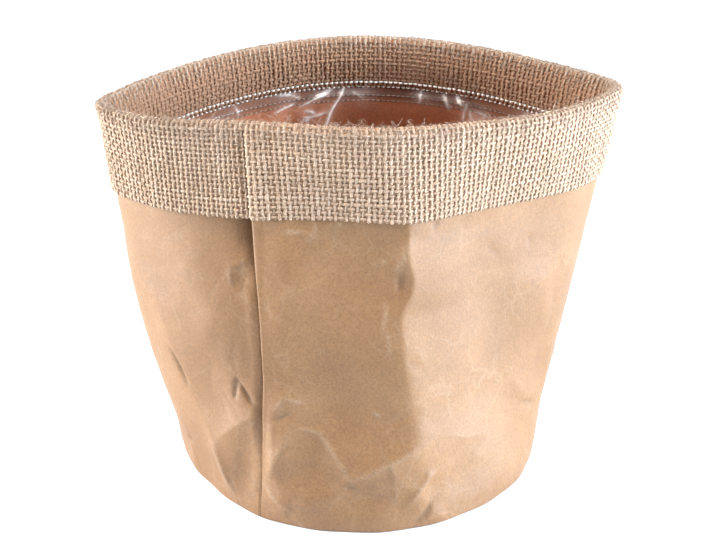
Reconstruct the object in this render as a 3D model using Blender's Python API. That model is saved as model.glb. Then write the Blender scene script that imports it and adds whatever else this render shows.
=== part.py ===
import math

import bmesh
import bpy
from mathutils import Vector

# Overall sizes of the bag, in metres
base_diameter = 0.164
rim_width = 0.233
rim_front_depth = 0.0525
rim_back_depth = 0.054
rim_height = 0.177
rim_tilt = 0.0037
rim_saddle = 0.0028
rim_forward = 0.0077
belly = 0.07
corner_round = 0.12

# Cuff, hem and turned edges
cuff_height = 0.0385
hem_height = 0.024
paper_lap = 0.010
liner_lap = 0.008
base_turn = 0.008
seam_offset = -0.051
seam_flap = 0.010
seam_dip = 0.0010

# Upright fold right of the front centre, between two flattened panels
ridge_offset = 0.0135
ridge_height = 0.0014
ridge_spread = 0.012
left_panel = 0.0048
right_panel = 0.0052
right_reach = 0.070

# Slack of the soft sheet: hollow at the rim by the seam, swell right of it, full left side, hollow at the foot
seam_hollow = 0.0094
front_swell = 0.0027
left_swell = 0.0054
foot_hollow = 0.0025
sideways = 0.0011

# Sheet thicknesses, thread size and the clearance between layers
paper = 0.0006
burlap = 0.0012
film = 0.0003
thread = 0.0006
gap = 0.0003

# Distances of the middle of each layer inward from the outer face of the paper
wall_in = paper / 2
flap_in = wall_in + paper + gap
under_flap_in = flap_in + paper + gap
fold_radius = paper * 1.25
turn_in = wall_in + 2 * fold_radius
tray_in = turn_in + paper + gap
base_thread_in = tray_in + (paper + thread) / 2 + gap
side_thread_in = under_flap_in + (paper + thread) / 2 + gap
film_in = max(base_thread_in, side_thread_in) + (thread + film) / 2 + 1.5 * gap
cuff_in = -(gap + burlap / 2)
film_top_in = cuff_in + (burlap + film) / 2 + seam_dip + gap
hem_in = film_top_in + (burlap + film) / 2 + gap
hem_thread_in = hem_in + (burlap + thread) / 2 + gap

base_radius = base_diameter / 2
around = 2 * math.pi * base_radius
front = 1.5 * math.pi
columns_round = 64


def clear_scene():
    for item in list(bpy.data.objects):
        bpy.data.objects.remove(item, do_unlink=True)


def smooth(low, high, value):
    share = min(1.0, max(0.0, (value - low) / (high - low)))
    return share * share * (3 - 2 * share)


def turn_of(arc):
    return front + arc / base_radius


# Arc from a place round the bag, the short way
def arc_from(turn, centre):
    return ((turn - turn_of(centre) + math.pi) % (2 * math.pi) - math.pi) * base_radius


def bell(value):
    return math.exp(-value * value)


# Point of the pointed rim outline: two shallow arcs that meet at the left and right ends
def lens_point(turn):
    turn %= 2 * math.pi
    side = 1 if turn < math.pi else -1
    depth = rim_back_depth if side > 0 else rim_front_depth
    half = rim_width / 2
    radius = (half * half + depth * depth) / (2 * depth)
    spread = math.atan2(half, radius - depth)
    angle = spread * (1 - 2 * (turn % math.pi) / math.pi)
    return Vector((radius * math.sin(angle), radius * math.cos(angle) - radius + depth)) * side


# The same outline with its two ends rounded, moved a little forward
def rim_point(turn):
    steps = [corner_round * (k - 3) / 3 for k in range(7)]
    total = sum((lens_point(turn + step) for step in steps), Vector((0, 0)))
    return total / len(steps) + Vector((0, -rim_forward))


def rim_level(turn):
    return rim_height + rim_tilt * math.sin(turn) - rim_saddle * math.cos(2 * turn)


# Horizontal section of the bag: a circle at the base that becomes the pointed outline at the rim
def section(turn, lift):
    share = lift * (1 + belly * (1 - lift))
    circle = Vector((math.cos(turn), math.sin(turn))) * base_radius
    return circle * (1 - share) + rim_point(turn) * share


# Depth share of a flat panel between two places round the front
def panel(turn, start, end):
    away = arc_from(turn, (start + end) / 2) * 2 / (end - start)
    return max(0.0, 1 - away * away) ** 1.4


# Upright fold and the flat panels on its two sides
def ridge(turn, lift):
    away = arc_from(turn, ridge_offset) / ridge_spread
    fold = ridge_height * math.exp(0.12 - math.sqrt(away * away + 0.0144)) * (1 - 0.92 * smooth(0.70, 0.84, lift))
    fold -= left_panel * panel(turn, seam_offset, ridge_offset)
    fold -= right_panel * panel(turn, ridge_offset, ridge_offset + right_reach)
    return fold * smooth(0.02, 0.3, lift) * (1 - 0.75 * smooth(0.7, 1.0, lift))


# Outward swell of the slack sheet
def slack(turn, lift):
    upper = max(0.0, (lift - 0.45) / 0.55) ** 1.5
    rim = front_swell * bell(arc_from(turn, 0.068) / 0.038) - seam_hollow * bell(arc_from(turn, -0.055) / 0.034)
    side = left_swell * bell(arc_from(turn, -0.120) / 0.040) * bell((lift - 0.42) / 0.28)
    foot = foot_hollow * bell(arc_from(turn, -0.093) / 0.030) * bell((lift - 0.03) / 0.16)
    return rim * upper + side - foot


# Point at an angle round the bag and a height, moved inward from the outer face of the paper
def place(turn, height, inward):
    lift = height / rim_level(turn)
    point = section(turn, lift)
    step = 0.004
    along = section(turn + step, lift) - section(turn - step, lift)
    outward = Vector((along.y, -along.x)).normalized()
    point += outward * (ridge(turn, lift) + slack(turn, lift) - inward)
    return Vector((point.x + sideways * math.sin(math.pi * lift), point.y, height))


def material(name, colour, roughness, clear=0.0):
    made = bpy.data.materials.new(name)
    made.use_nodes = True
    shader = made.node_tree.nodes["Principled BSDF"]
    shader.inputs["Base Color"].default_value = (*colour, 1)
    shader.inputs["Roughness"].default_value = roughness
    shader.inputs["Transmission Weight"].default_value = clear
    return made


# Sheet of cloth, paper or film: a grid laid on the bag, thickened to both sides
def sheet(name, columns, rows, lay, thickness, skin, closed=False, drop=None, floor=False):
    bm = bmesh.new()
    across = len(columns) if closed else len(columns) - 1
    upward = len(rows) - 1
    bmesh.ops.create_grid(bm, x_segments=across, y_segments=upward, size=0.5)
    for face in list(bm.faces) if drop else []:
        centre = face.calc_center_median()
        if drop((centre.x + 0.5) * across, (centre.y + 0.5) * upward):
            bm.faces.remove(face)
    for vert in bm.verts:
        i = round((vert.co.x + 0.5) * across) % len(columns)
        j = round((vert.co.y + 0.5) * upward)
        vert.co = lay(columns[i], rows[j])
    bmesh.ops.delete(bm, geom=[v for v in bm.verts if not v.link_faces], context="VERTS")
    if closed:
        bmesh.ops.remove_doubles(bm, verts=bm.verts, dist=1e-6)
    if floor:
        low = min(v.co.z for v in bm.verts)
        ring = [e for e in bm.edges if e.is_boundary and max(v.co.z for v in e.verts) < low + 1e-5]
        bmesh.ops.contextual_create(bm, geom=ring)
    bmesh.ops.recalc_face_normals(bm, faces=bm.faces)
    mesh = bpy.data.meshes.new(name)
    bm.to_mesh(mesh)
    bm.free()
    mesh.materials.append(skin)
    made = bpy.data.objects.new(name, mesh)
    bpy.context.scene.collection.objects.link(made)
    thick = made.modifiers.new("thickness", "SOLIDIFY")
    thick.thickness = thickness
    thick.offset = 0
    thick.use_even_offset = True
    return made


# Row of stitching: one thread that follows the seam
def stitch_row(name, points, skin, closed=True):
    curve = bpy.data.curves.new(name, "CURVE")
    curve.dimensions = "3D"
    curve.bevel_depth = thread / 2
    curve.bevel_resolution = 0
    curve.use_fill_caps = True
    line = curve.splines.new("POLY")
    line.points.add(len(points) - 1)
    for knot, point in zip(line.points, points):
        knot.co = (*point, 1)
    line.use_cyclic_u = closed
    curve.materials.append(skin)
    made = bpy.data.objects.new(name, curve)
    bpy.context.scene.collection.objects.link(made)
    return made


# Angles round the bag, closer together at the two pointed ends
def ring_turns():
    even = [2 * math.pi * k / columns_round for k in range(columns_round)]
    return [turn - 0.2 * math.sin(2 * turn) for turn in even]


# The same angles as arcs that run leftward from the seam, without those next to it
def strip_arcs():
    seam_turn = turn_of(seam_offset)
    arcs = sorted((-((seam_turn - turn) % (2 * math.pi)) * base_radius for turn in ring_turns()), reverse=True)
    return [arc for arc in arcs if -0.008 > arc > 0.005 - around]


# Half circle of a folded edge between two layers, as (height, inward) pairs
def fold(level, start_in, end_in, upward, steps=4):
    middle = (start_in + end_in) / 2
    reach = (end_in - start_in) / 2
    pairs = []
    for k in range(1, steps):
        angle = math.pi * k / steps
        pairs.append((level + upward * abs(reach) * math.sin(angle), middle - reach * math.cos(angle)))
    return pairs


# Paper tube: one sheet with a side seam whose two edges are turned inside, and a turned lower edge
def make_paper_wall():
    columns = [(arc, under_flap_in, True) for arc in (seam_flap, seam_flap * 0.5, 0.0020, 0.0008)]
    columns += [(-0.0004, under_flap_in * 0.86, False), (-0.0020, under_flap_in * 0.48, False)]
    columns += [(-0.0045, flap_in * 0.5, False)]
    columns += [(arc, wall_in, False) for arc in strip_arcs()]
    columns += [(arc - around, wall_in, False) for arc in (0.0040, 0.0014, 0.0004)]
    columns += [(0.0004 + pair[0] - around, pair[1], True) for pair in fold(0.0, wall_in, flap_in, -1)]
    columns += [(arc - around, flap_in, True) for arc in (0.0005, seam_flap * 0.5, seam_flap)]
    lowest = paper / 2 + 0.0001 + fold_radius
    rows = [(base_turn, turn_in), (base_turn * 0.5, turn_in), (lowest + 0.0003, turn_in)]
    rows += fold(lowest, turn_in, wall_in, -1)
    rows += [(lowest + 0.0005, wall_in), (base_turn, wall_in), (base_turn + 0.0045, wall_in)]
    turned = len(rows) - 1
    rows += [(share, None) for share in (0.14, 0.24, 0.36, 0.48, 0.60, 0.72, 0.84, 0.93, 1.0)]
    flaps = [i for i, column in enumerate(columns) if column[2]]

    def lay(column, row):
        turn = turn_of(seam_offset + column[0])
        top = rim_level(turn) - cuff_height + paper_lap
        share, inward = row
        height = share if inward is not None else base_turn + (top - base_turn) * share
        bend = smooth(base_turn, base_turn + 0.0045, height)
        layer = wall_in + (column[1] - wall_in) * bend
        if inward is not None:
            layer = inward + (layer - wall_in)
        return place(turn, height, layer)

    def drop(i, j):
        near_flap = any(abs(i - f) < 0.6 for f in flaps)
        return near_flap and j < turned + 1

    skin = material("kraft_paper", (0.46, 0.29, 0.16), 0.85)
    return sheet("paper_wall", columns, rows, lay, paper, skin, drop=drop)


# Round paper base: a shallow tray whose edge stands up inside the turned wall
def make_paper_base():
    floor_level = paper / 2
    edge = 0.0008
    rows = [(base_turn, tray_in), (base_turn * 0.5, tray_in), (floor_level + edge, tray_in)]
    rows += [(floor_level + edge * 0.3, tray_in + edge * 0.3), (floor_level, tray_in + edge)]
    skin = material("kraft_paper_base", (0.42, 0.26, 0.14), 0.85)
    return sheet("paper_base", ring_turns(), rows, lambda turn, row: place(turn, *row), paper, skin,
                 closed=True, floor=True)


# Burlap cuff: one band, up the outside, over the rim and down inside as a hem
def make_burlap_cuff():
    columns = [(-0.0005, 1.0), (-0.0022, 0.75), (-0.0050, 0.25)]
    columns += [(arc, 0.0) for arc in strip_arcs()]
    columns += [(0.0040 - around, 0.0), (0.0010 - around, 0.0)]
    crown = burlap / 2 + (hem_in - cuff_in) / 2
    rows = [(cuff_height, cuff_in), (cuff_height * 0.8, cuff_in), (cuff_height * 0.55, cuff_in)]
    rows += [(cuff_height * 0.3, cuff_in), (crown, cuff_in)]
    rows += [(drop, inward) for drop, inward in fold(crown, cuff_in, hem_in, -1)]
    rows += [(crown, hem_in), (hem_height * 0.4, hem_in), (hem_height * 0.7, hem_in), (hem_height, hem_in)]

    def lay(column, row):
        turn = turn_of(seam_offset + column[0])
        drop, inward = row
        outer = smooth(0.004, 0.012, drop) if inward == cuff_in else 0.0
        return place(turn, rim_level(turn) - drop, inward + seam_dip * column[1] * outer)

    skin = material("jute_burlap", (0.60, 0.47, 0.33), 0.95)
    return sheet("burlap_cuff", columns, rows, lay, burlap, skin)


# Inward distance of the liner at a drop below the rim: behind the hem, then clear of the paper's top edge
def liner_inward(drop):
    start = hem_height + 2 * gap
    end = cuff_height - paper_lap - 2 * gap
    share = min(1.0, max(0.0, (drop - start) / (end - start)))
    return film_top_in + (film_in - film_top_in) * share


# Clear liner pouch: sewn in behind the hem, hanging down to its own floor
def make_clear_liner():
    level = paper + gap + film / 2
    edge = 0.004
    drops = [hem_height - liner_lap, hem_height + 2 * gap, cuff_height - paper_lap - 2 * gap]
    rows = [(drop, True) for drop in drops]
    rows += [(share, False) for share in (0.75, 0.5, 0.25, 0.0)]
    rows += [(level + edge * 0.35, edge * 0.25), (level, edge)]

    def lay(turn, row):
        if row[1] is True:
            return place(turn, rim_level(turn) - row[0], liner_inward(row[0]))
        if row[1] is False:
            top = rim_level(turn) - cuff_height + paper_lap
            return place(turn, level + edge + (top - level - edge) * row[0], film_in)
        return place(turn, row[0], film_in + row[1])

    skin = material("clear_film", (0.9, 0.9, 0.9), 0.15, 0.9)
    return sheet("clear_liner", ring_turns(), rows, lay, film, skin, closed=True, floor=True)


def rim_ring(drop, inward):
    return [place(turn, rim_level(turn) - drop, inward) for turn in ring_turns()]


def make_stitching():
    white = material("white_thread", (0.85, 0.84, 0.80), 0.7)
    tan = material("tan_thread", (0.52, 0.38, 0.24), 0.8)
    stitch_row("hem_stitch_upper", rim_ring(hem_height - 0.0014, hem_thread_in), white)
    lower = hem_height + 0.0018
    away = liner_inward(lower) + 1.6 * ((film + thread) / 2 + gap)
    stitch_row("hem_stitch_lower", rim_ring(lower, away), white)
    arcs = [seam_offset + arc for arc in strip_arcs() if arc > seam_flap + 0.003 - around]
    drop = cuff_height - 0.72 * paper_lap
    inner = wall_in + (paper + thread) / 2 + gap
    row = [place(turn_of(arc), rim_level(turn_of(arc)) - drop, inner) for arc in arcs]
    stitch_row("cuff_seam_stitch", row, tan, closed=False)
    level = base_turn * 0.45
    ring = [place(turn, level, base_thread_in) for turn in ring_turns()]
    stitch_row("base_seam_stitch", ring, tan)
    turn = turn_of(seam_offset + 0.0035)
    low = base_turn + 0.0065
    high = rim_level(turn) - cuff_height + paper_lap - 0.001
    side = [place(turn, low + (high - low) * k / 24, side_thread_in) for k in range(25)]
    stitch_row("side_seam_stitch", side, tan, closed=False)


clear_scene()
make_paper_wall()
make_paper_base()
make_burlap_cuff()
make_clear_liner()
make_stitching()
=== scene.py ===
import math

import bmesh
import bpy
import numpy as np
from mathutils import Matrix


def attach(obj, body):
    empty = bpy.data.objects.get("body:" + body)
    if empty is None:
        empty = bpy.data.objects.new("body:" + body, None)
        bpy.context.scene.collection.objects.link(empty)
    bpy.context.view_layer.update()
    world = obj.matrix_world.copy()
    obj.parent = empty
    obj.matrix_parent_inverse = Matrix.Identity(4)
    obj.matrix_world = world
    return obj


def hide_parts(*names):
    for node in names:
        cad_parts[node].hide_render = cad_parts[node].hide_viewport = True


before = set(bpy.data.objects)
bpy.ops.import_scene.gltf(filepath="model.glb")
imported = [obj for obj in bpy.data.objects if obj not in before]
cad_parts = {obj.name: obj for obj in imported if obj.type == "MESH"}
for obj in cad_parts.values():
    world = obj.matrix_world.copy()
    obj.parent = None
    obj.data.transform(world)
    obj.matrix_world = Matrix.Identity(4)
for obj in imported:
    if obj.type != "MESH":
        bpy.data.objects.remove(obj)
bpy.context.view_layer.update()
scene = bpy.context.scene
mm = 0.001

# Shape of the bag, the same sizes as the solids
bag = dict(baseRadius=0.082, rimWidth=0.233, frontDepth=0.0525, backDepth=0.054, rimHeight=0.177,
           rimTilt=0.0037, rimSaddle=0.0028, rimForward=0.0077, belly=0.07, cornerRound=0.12, cornerSteps=7,
           cuffHeight=0.0385, hemHeight=0.024, paperLap=0.010, baseTurn=0.008, seamArc=-0.051,
           sideways=0.0011)
# How the slack sheet stands off that shape; swells and hollows are height, arc and half width
swell = dict(ridgeHeight=0.0014, ridgeSpread=0.012, leftPanel=0.0056, rightPanel=0.0082, rightReach=0.094,
             rightEnd=1.6, front=(0.0027, 0.068, 0.038), seamHollow=(0.0094, -0.055, 0.034),
             left=(0.0054, -0.120, 0.040), besideSeam=1.8 * mm, besideHalf=0.015,
             foot=(0.0025, -0.093, 0.030), leftTip=(1.8 * mm, -0.128, 0.026))
# Line of the upright fold: heights as shares of the rim's, and arcs
ridgeLine = ((0.02, 0.13, 0.21, 0.35, 0.47, 0.55, 0.60, 0.64, 0.73, 1.0),
             (0.0155, 0.0215, 0.0165, 0.0125, 0.0095, 0.0085, 0.012, 0.0125, 0.012, 0.012))
# Lean of the side seam: heights and sideways shifts in mm
seamLine = ((0, 24, 43, 66, 90, 102, 115, 135, 175), (-2.6, -1.5, 0, 1, 0.5, 0, -1, -2, -3.5))
around = 2 * math.pi * bag["baseRadius"]
frontTurn = 1.5 * math.pi


def smooth(low, high, value):
    share = np.clip((value - low) / (high - low), 0, 1)
    return share * share * (3 - 2 * share)


def bell(value):
    return np.exp(-value * value)


# The short way round
def wrapped(value, period):
    return np.mod(value + period / 2, period) - period / 2


# An arc is a length round the foot, from the front centre to the right
def turnOf(arc):
    return frontTurn + np.asarray(arc) / bag["baseRadius"]


def arcFrom(turn, centre):
    return wrapped(turn - turnOf(centre), 2 * math.pi) * bag["baseRadius"]


# Two arcs that meet in points, each point the mean of a few, which rounds the ends
def rimPoint(turn):
    half = bag["rimWidth"] / 2
    steps = bag["cornerSteps"]
    x, y = 0, 0
    for k in range(steps):
        t = np.mod(turn + bag["cornerRound"] * (k - steps // 2) / (steps // 2), 2 * math.pi)
        side = np.where(t < math.pi, 1.0, -1.0)
        depth = np.where(t < math.pi, bag["backDepth"], bag["frontDepth"])
        radius = (half * half + depth * depth) / (2 * depth)
        angle = np.arctan2(half, radius - depth) * (1 - 2 * np.mod(t, math.pi) / math.pi)
        x = x + side * radius * np.sin(angle) / steps
        y = y + side * (radius * np.cos(angle) - radius + depth) / steps
    return x, y - bag["rimForward"]


def rimLevel(turn):
    return bag["rimHeight"] + bag["rimTilt"] * np.sin(turn) - bag["rimSaddle"] * np.cos(2 * turn)


# From the round foot to the rim; lift is the share of the height
def section(turn, lift):
    share = lift * (1 + bag["belly"] * (1 - lift))
    rimX, rimY = rimPoint(turn)
    flat = bag["baseRadius"] * (1 - share)
    return np.cos(turn) * flat + rimX * share, np.sin(turn) * flat + rimY * share


def panel(turn, start, end, ends, outer):
    away = arcFrom(turn, (start + end) / 2) * 2 / (end - start)
    return np.clip(1 - away * away, 0, 1) ** np.where(away > 0, outer, ends)


def standOff(turn, height, arc, half):
    return height * bell(arcFrom(turn, arc) / half)


# Outward swell of the slack sheet, with the upright fold right of the front centre and a flat panel beside it
# on the left and the right
def slack(turn, lift):
    ridgeArc = np.interp(lift, *ridgeLine)
    away = arcFrom(turn, ridgeArc) / swell["ridgeSpread"]
    soft = np.interp(lift, (0.2, 0.5, 0.62), (0.6, 0.3, 0.08))  # crisp above, rounded below
    ends = np.interp(lift, (0.22, 0.5, 0.62, 0.74, 0.82), (1.7, 1.35, 1.05, 1.05, 1.9))
    fold = swell["ridgeHeight"] * np.exp(soft - np.sqrt(away * away + soft * soft))
    fold = fold * (1 - 0.92 * smooth(0.74, 0.86, lift))
    fold = fold - swell["leftPanel"] * panel(turn, bag["seamArc"], ridgeArc, ends, ends)
    rightArc = ridgeArc + swell["rightReach"]
    fold = fold - swell["rightPanel"] * panel(turn, ridgeArc, rightArc, ends, swell["rightEnd"])
    fold = fold * smooth(0.02, 0.3, lift) * (1 - 0.75 * smooth(0.7, 1.0, lift))
    upper = np.clip((lift - 0.45) / 0.55, 0, None) ** 1.5
    rim = standOff(turn, *swell["front"]) - standOff(turn, *swell["seamHollow"])
    side = standOff(turn, *swell["left"]) * bell((lift - 0.42) / 0.28)
    slant = np.interp(lift, (0.4, 0.65), (-0.065, -0.077))  # the left sheet swells before the seam
    side = side + standOff(turn, swell["besideSeam"], slant, swell["besideHalf"]) * bell((lift - 0.5) / 0.22)
    foot = standOff(turn, *swell["foot"]) * bell((lift - 0.03) / 0.16)
    tip = standOff(turn, *swell["leftTip"]) * smooth(0.74, 0.98, lift)  # the rim's left end is rounder
    return fold + rim * upper + side - foot - tip


# Points at angles round the bag and heights, moved inward from the outer face of the paper
def place(turn, height, inward):
    lift = height / rimLevel(turn)
    nudge = 0.004  # two close points give the way the sheet runs
    x, y = section(turn, lift)
    ax, ay = section(turn + nudge, lift)
    bx, by = section(turn - nudge, lift)
    dx, dy = ax - bx, ay - by
    size = np.hypot(dx, dy)
    push = slack(turn, lift) - inward
    aside = bag["sideways"] * np.sin(math.pi * lift)
    return np.stack([x + dy / size * push + aside, y - dx / size * push, height + 0 * x], axis=-1)


# Sideways lean of the seam by height, fading out away from it
def seamLean(fromSeam, height):
    return np.interp(height / mm, *seamLine) * mm * bell(fromSeam / (32 * mm))


# Small helpers for meshes
def addObject(name, mesh, material):
    made = bpy.data.objects.new(name, mesh)
    scene.collection.objects.link(made)
    mesh.materials.append(material)
    return made


def setPoints(mesh, points):
    mesh.vertices.foreach_set("co", np.ascontiguousarray(points, np.float32).ravel())
    mesh.update()


def addAttribute(mesh, name, values):
    layer = mesh.attributes.new(name, "FLOAT", "POINT")
    layer.data.foreach_set("value", np.ascontiguousarray(values, np.float32))


# Grid of a sheet: gives the mesh and the column and row number of each point
def gridMesh(name, columns, rows, closed=False):
    bm = bmesh.new()
    across = columns if closed else columns - 1
    bmesh.ops.create_grid(bm, x_segments=across, y_segments=rows - 1, size=0.5)
    if closed:
        ends = [v for v in bm.verts if abs(v.co.x) > 0.4999]
        target = {round(v.co.y * 1e4): v for v in ends if v.co.x < 0}
        bmesh.ops.weld_verts(bm, targetmap={v: target[round(v.co.y * 1e4)] for v in ends if v.co.x > 0})
    mesh = bpy.data.meshes.new(name)
    bm.to_mesh(mesh)
    bm.free()
    flat = np.zeros(len(mesh.vertices) * 3, np.float32)
    mesh.vertices.foreach_get("co", flat)
    flat = flat.reshape(-1, 3)
    i = np.rint((flat[:, 0] + 0.5) * across).astype(int) % columns
    j = np.rint((flat[:, 1] + 0.5) * (rows - 1)).astype(int)
    for polygon in mesh.polygons:
        polygon.use_smooth = True
    return mesh, i, j


# Turns the faces outward, once faces are cut off or a hole of this radius in the middle is closed
def faceOut(mesh, isCut=None, hole=0.0):
    bm = bmesh.new()
    bm.from_mesh(mesh)
    if isCut:
        cut = [face for face in bm.faces if isCut([v.index for v in face.verts])]
        bmesh.ops.delete(bm, geom=cut, context="FACES")
    if hole:
        edges = [e for e in bm.edges if e.is_boundary and max(v.co.xy.length for v in e.verts) < hole]
        bmesh.ops.holes_fill(bm, edges=edges)
    bmesh.ops.recalc_face_normals(bm, faces=bm.faces)
    bm.to_mesh(mesh)
    bm.free()


# Round tubes from threads, each a path, a radius at each of its points, and a tone
def threadMesh(name, threads, material, sides=1, turnAt=2.0):
    curve = bpy.data.curves.new(name, "CURVE")
    curve.dimensions = "3D"
    curve.bevel_depth = 1.0
    curve.bevel_resolution = sides
    curve.use_fill_caps = True
    paths, radii, tones = zip(*threads)
    for path, radius in zip(paths, radii):
        line = curve.splines.new("POLY")
        line.points.add(len(path) - 1)
        line.points.foreach_set("co", np.c_[path, np.ones(len(path))].astype(np.float32).ravel())
        line.points.foreach_set("radius", np.asarray(radius, np.float32))
    holder = bpy.data.objects.new(name + "Path", curve)
    scene.collection.objects.link(holder)
    mesh = bpy.data.meshes.new_from_object(holder.evaluated_get(bpy.context.evaluated_depsgraph_get()))
    bpy.data.objects.remove(holder)
    bpy.data.curves.remove(curve)
    mesh.name = name
    mesh.materials.clear()
    ring = 4 + 2 * sides
    counts = [(len(path) + 2) * ring for path in paths]
    spans = [np.linalg.norm(np.diff(path, axis=0), axis=1).sum() for path in paths]
    addAttribute(mesh, "tone", np.repeat(tones, counts))
    addAttribute(mesh, "span", np.repeat(spans, counts))
    # Share of the path past which the yarn is painted in shade, being inside the bag
    addAttribute(mesh, "turnAt", np.full(len(mesh.vertices), turnAt))
    bm = bmesh.new()
    bm.from_mesh(mesh)
    bmesh.ops.remove_doubles(bm, verts=bm.verts, dist=1e-7)  # joins the end caps to the tubes
    for face in bm.faces:
        face.smooth = True
    bm.to_mesh(mesh)
    bm.free()
    made = addObject(name, mesh, material)
    print(name, len(mesh.polygons) * 2, "triangles")
    return made


# Node helpers
def nodeMaterial(name, roughness, specular=0.5):
    material = bpy.data.materials.new(name)
    material.use_nodes = True
    tree = material.node_tree
    shader = tree.nodes["Principled BSDF"]
    shader.inputs["Roughness"].default_value = roughness
    shader.inputs["Specular IOR Level"].default_value = specular
    return material, tree, shader


def fill(tree, socket, value):
    if isinstance(value, bpy.types.NodeSocket):
        tree.links.new(value, socket)
    else:
        socket.default_value = (*value, 1) if socket.type == "RGBA" else value


# Shader node with its inputs in order or by name, each a value or a link, and its settings
def addNode(tree, kind, *inputs, **values):
    made = tree.nodes.new("ShaderNode" + kind)
    for key, value in values.items():
        if key in made.inputs:
            fill(tree, made.inputs[key], value)
        else:
            setattr(made, key, value)
    for socket, value in zip(made.inputs, inputs):
        fill(tree, socket, value)
    return made


def objectCoords(tree):
    return addNode(tree, "TexCoord").outputs["Object"]


def readAttribute(tree, name):
    return addNode(tree, "Attribute", attribute_name=name).outputs["Fac"]


def addNoise(tree, coords, scale, detail, roughness, output="Fac"):
    made = addNode(tree, "TexNoise", coords, Scale=scale, Detail=detail, Roughness=roughness)
    return made.outputs[output]


# Colours between two ends, each a position and a colour
def addRamp(tree, source, *ends):
    made = addNode(tree, "ValToRGB", source)
    for element, (position, colour) in zip(made.color_ramp.elements, ends):
        element.position = position
        element.color = (*colour, 1)
    return made.outputs["Color"]


def addMix(tree, kind, factor, a, b):
    made = addNode(tree, "Mix", factor, data_type="RGBA", blend_type=kind)
    fill(tree, made.inputs[6], a)
    fill(tree, made.inputs[7], b)
    return made.outputs[2]


def addMath(tree, operation, a, b=0.0):
    return addNode(tree, "Math", a, b, operation=operation).outputs[0]


def times(tree, a, b):
    return addMath(tree, "MULTIPLY", a, b)


def plus(tree, a, b):
    return addMath(tree, "ADD", a, b)


def addRange(tree, source, low, high, start=0.0, end=1.0):
    return addNode(tree, "MapRange", source, low, high, start, end).outputs["Result"]


def addBump(tree, height, strength, distance):
    return addNode(tree, "Bump", Height=height, Strength=strength, Distance=distance).outputs["Normal"]


# Shared effects are groups that take three colours and a number, and give a colour and a height
def makeGroup(name, colours, number):
    group = bpy.data.node_groups.new(name, "ShaderNodeTree")
    sockets = [(label, "INPUT", "Color") for label in colours]
    sockets += [(number, "INPUT", "Float"), ("Color", "OUTPUT", "Color"), ("Height", "OUTPUT", "Float")]
    for label, way, kind in sockets:
        group.interface.new_socket(label, in_out=way, socket_type="NodeSocket" + kind)
    return group, group.nodes.new("NodeGroupInput").outputs, group.nodes.new("NodeGroupOutput").inputs


# Material of a sheet or thread from such a group
def makeSkin(name, group, colours, number, roughness, specular, bump):
    material, tree, shader = nodeMaterial(name, roughness, specular)
    made = addNode(tree, "Group", *colours, number, node_tree=group)
    tree.links.new(made.outputs["Color"], shader.inputs["Base Color"])
    tree.links.new(addBump(tree, made.outputs["Height"], bump, 0.0003), shader.inputs["Normal"])
    return material


# Paper; steps are those of the grid, and lap is how far the wall runs up behind the cuff
paper = dict(thickness=0.5 * mm, gap=0.3 * mm, layer=0.6 * mm, foldRadius=0.75 * mm, lap=18 * mm,
             fineStep=0.9 * mm, wideStep=3.0 * mm, fineWithin=108 * mm, lowRow=0.95 * mm, highRow=1.7 * mm,
             footRipple=0.45 * mm, paintedShadeDrop=32.6 * mm, seed=11, waves=16, randomCreases=300)
# Side seam: the left side dips, as depth, half width, heights from and to, and the right side stands proud
seam = dict(dips=((2.8 * mm, 4.8 * mm, 0.108, 0.134), (0.8 * mm, 11 * mm, 0.012, 0.05)), lip=1.8 * mm,
            lipReach=(0.3 * mm, 13 * mm, 34 * mm), tuck=0.62 * mm)
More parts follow.
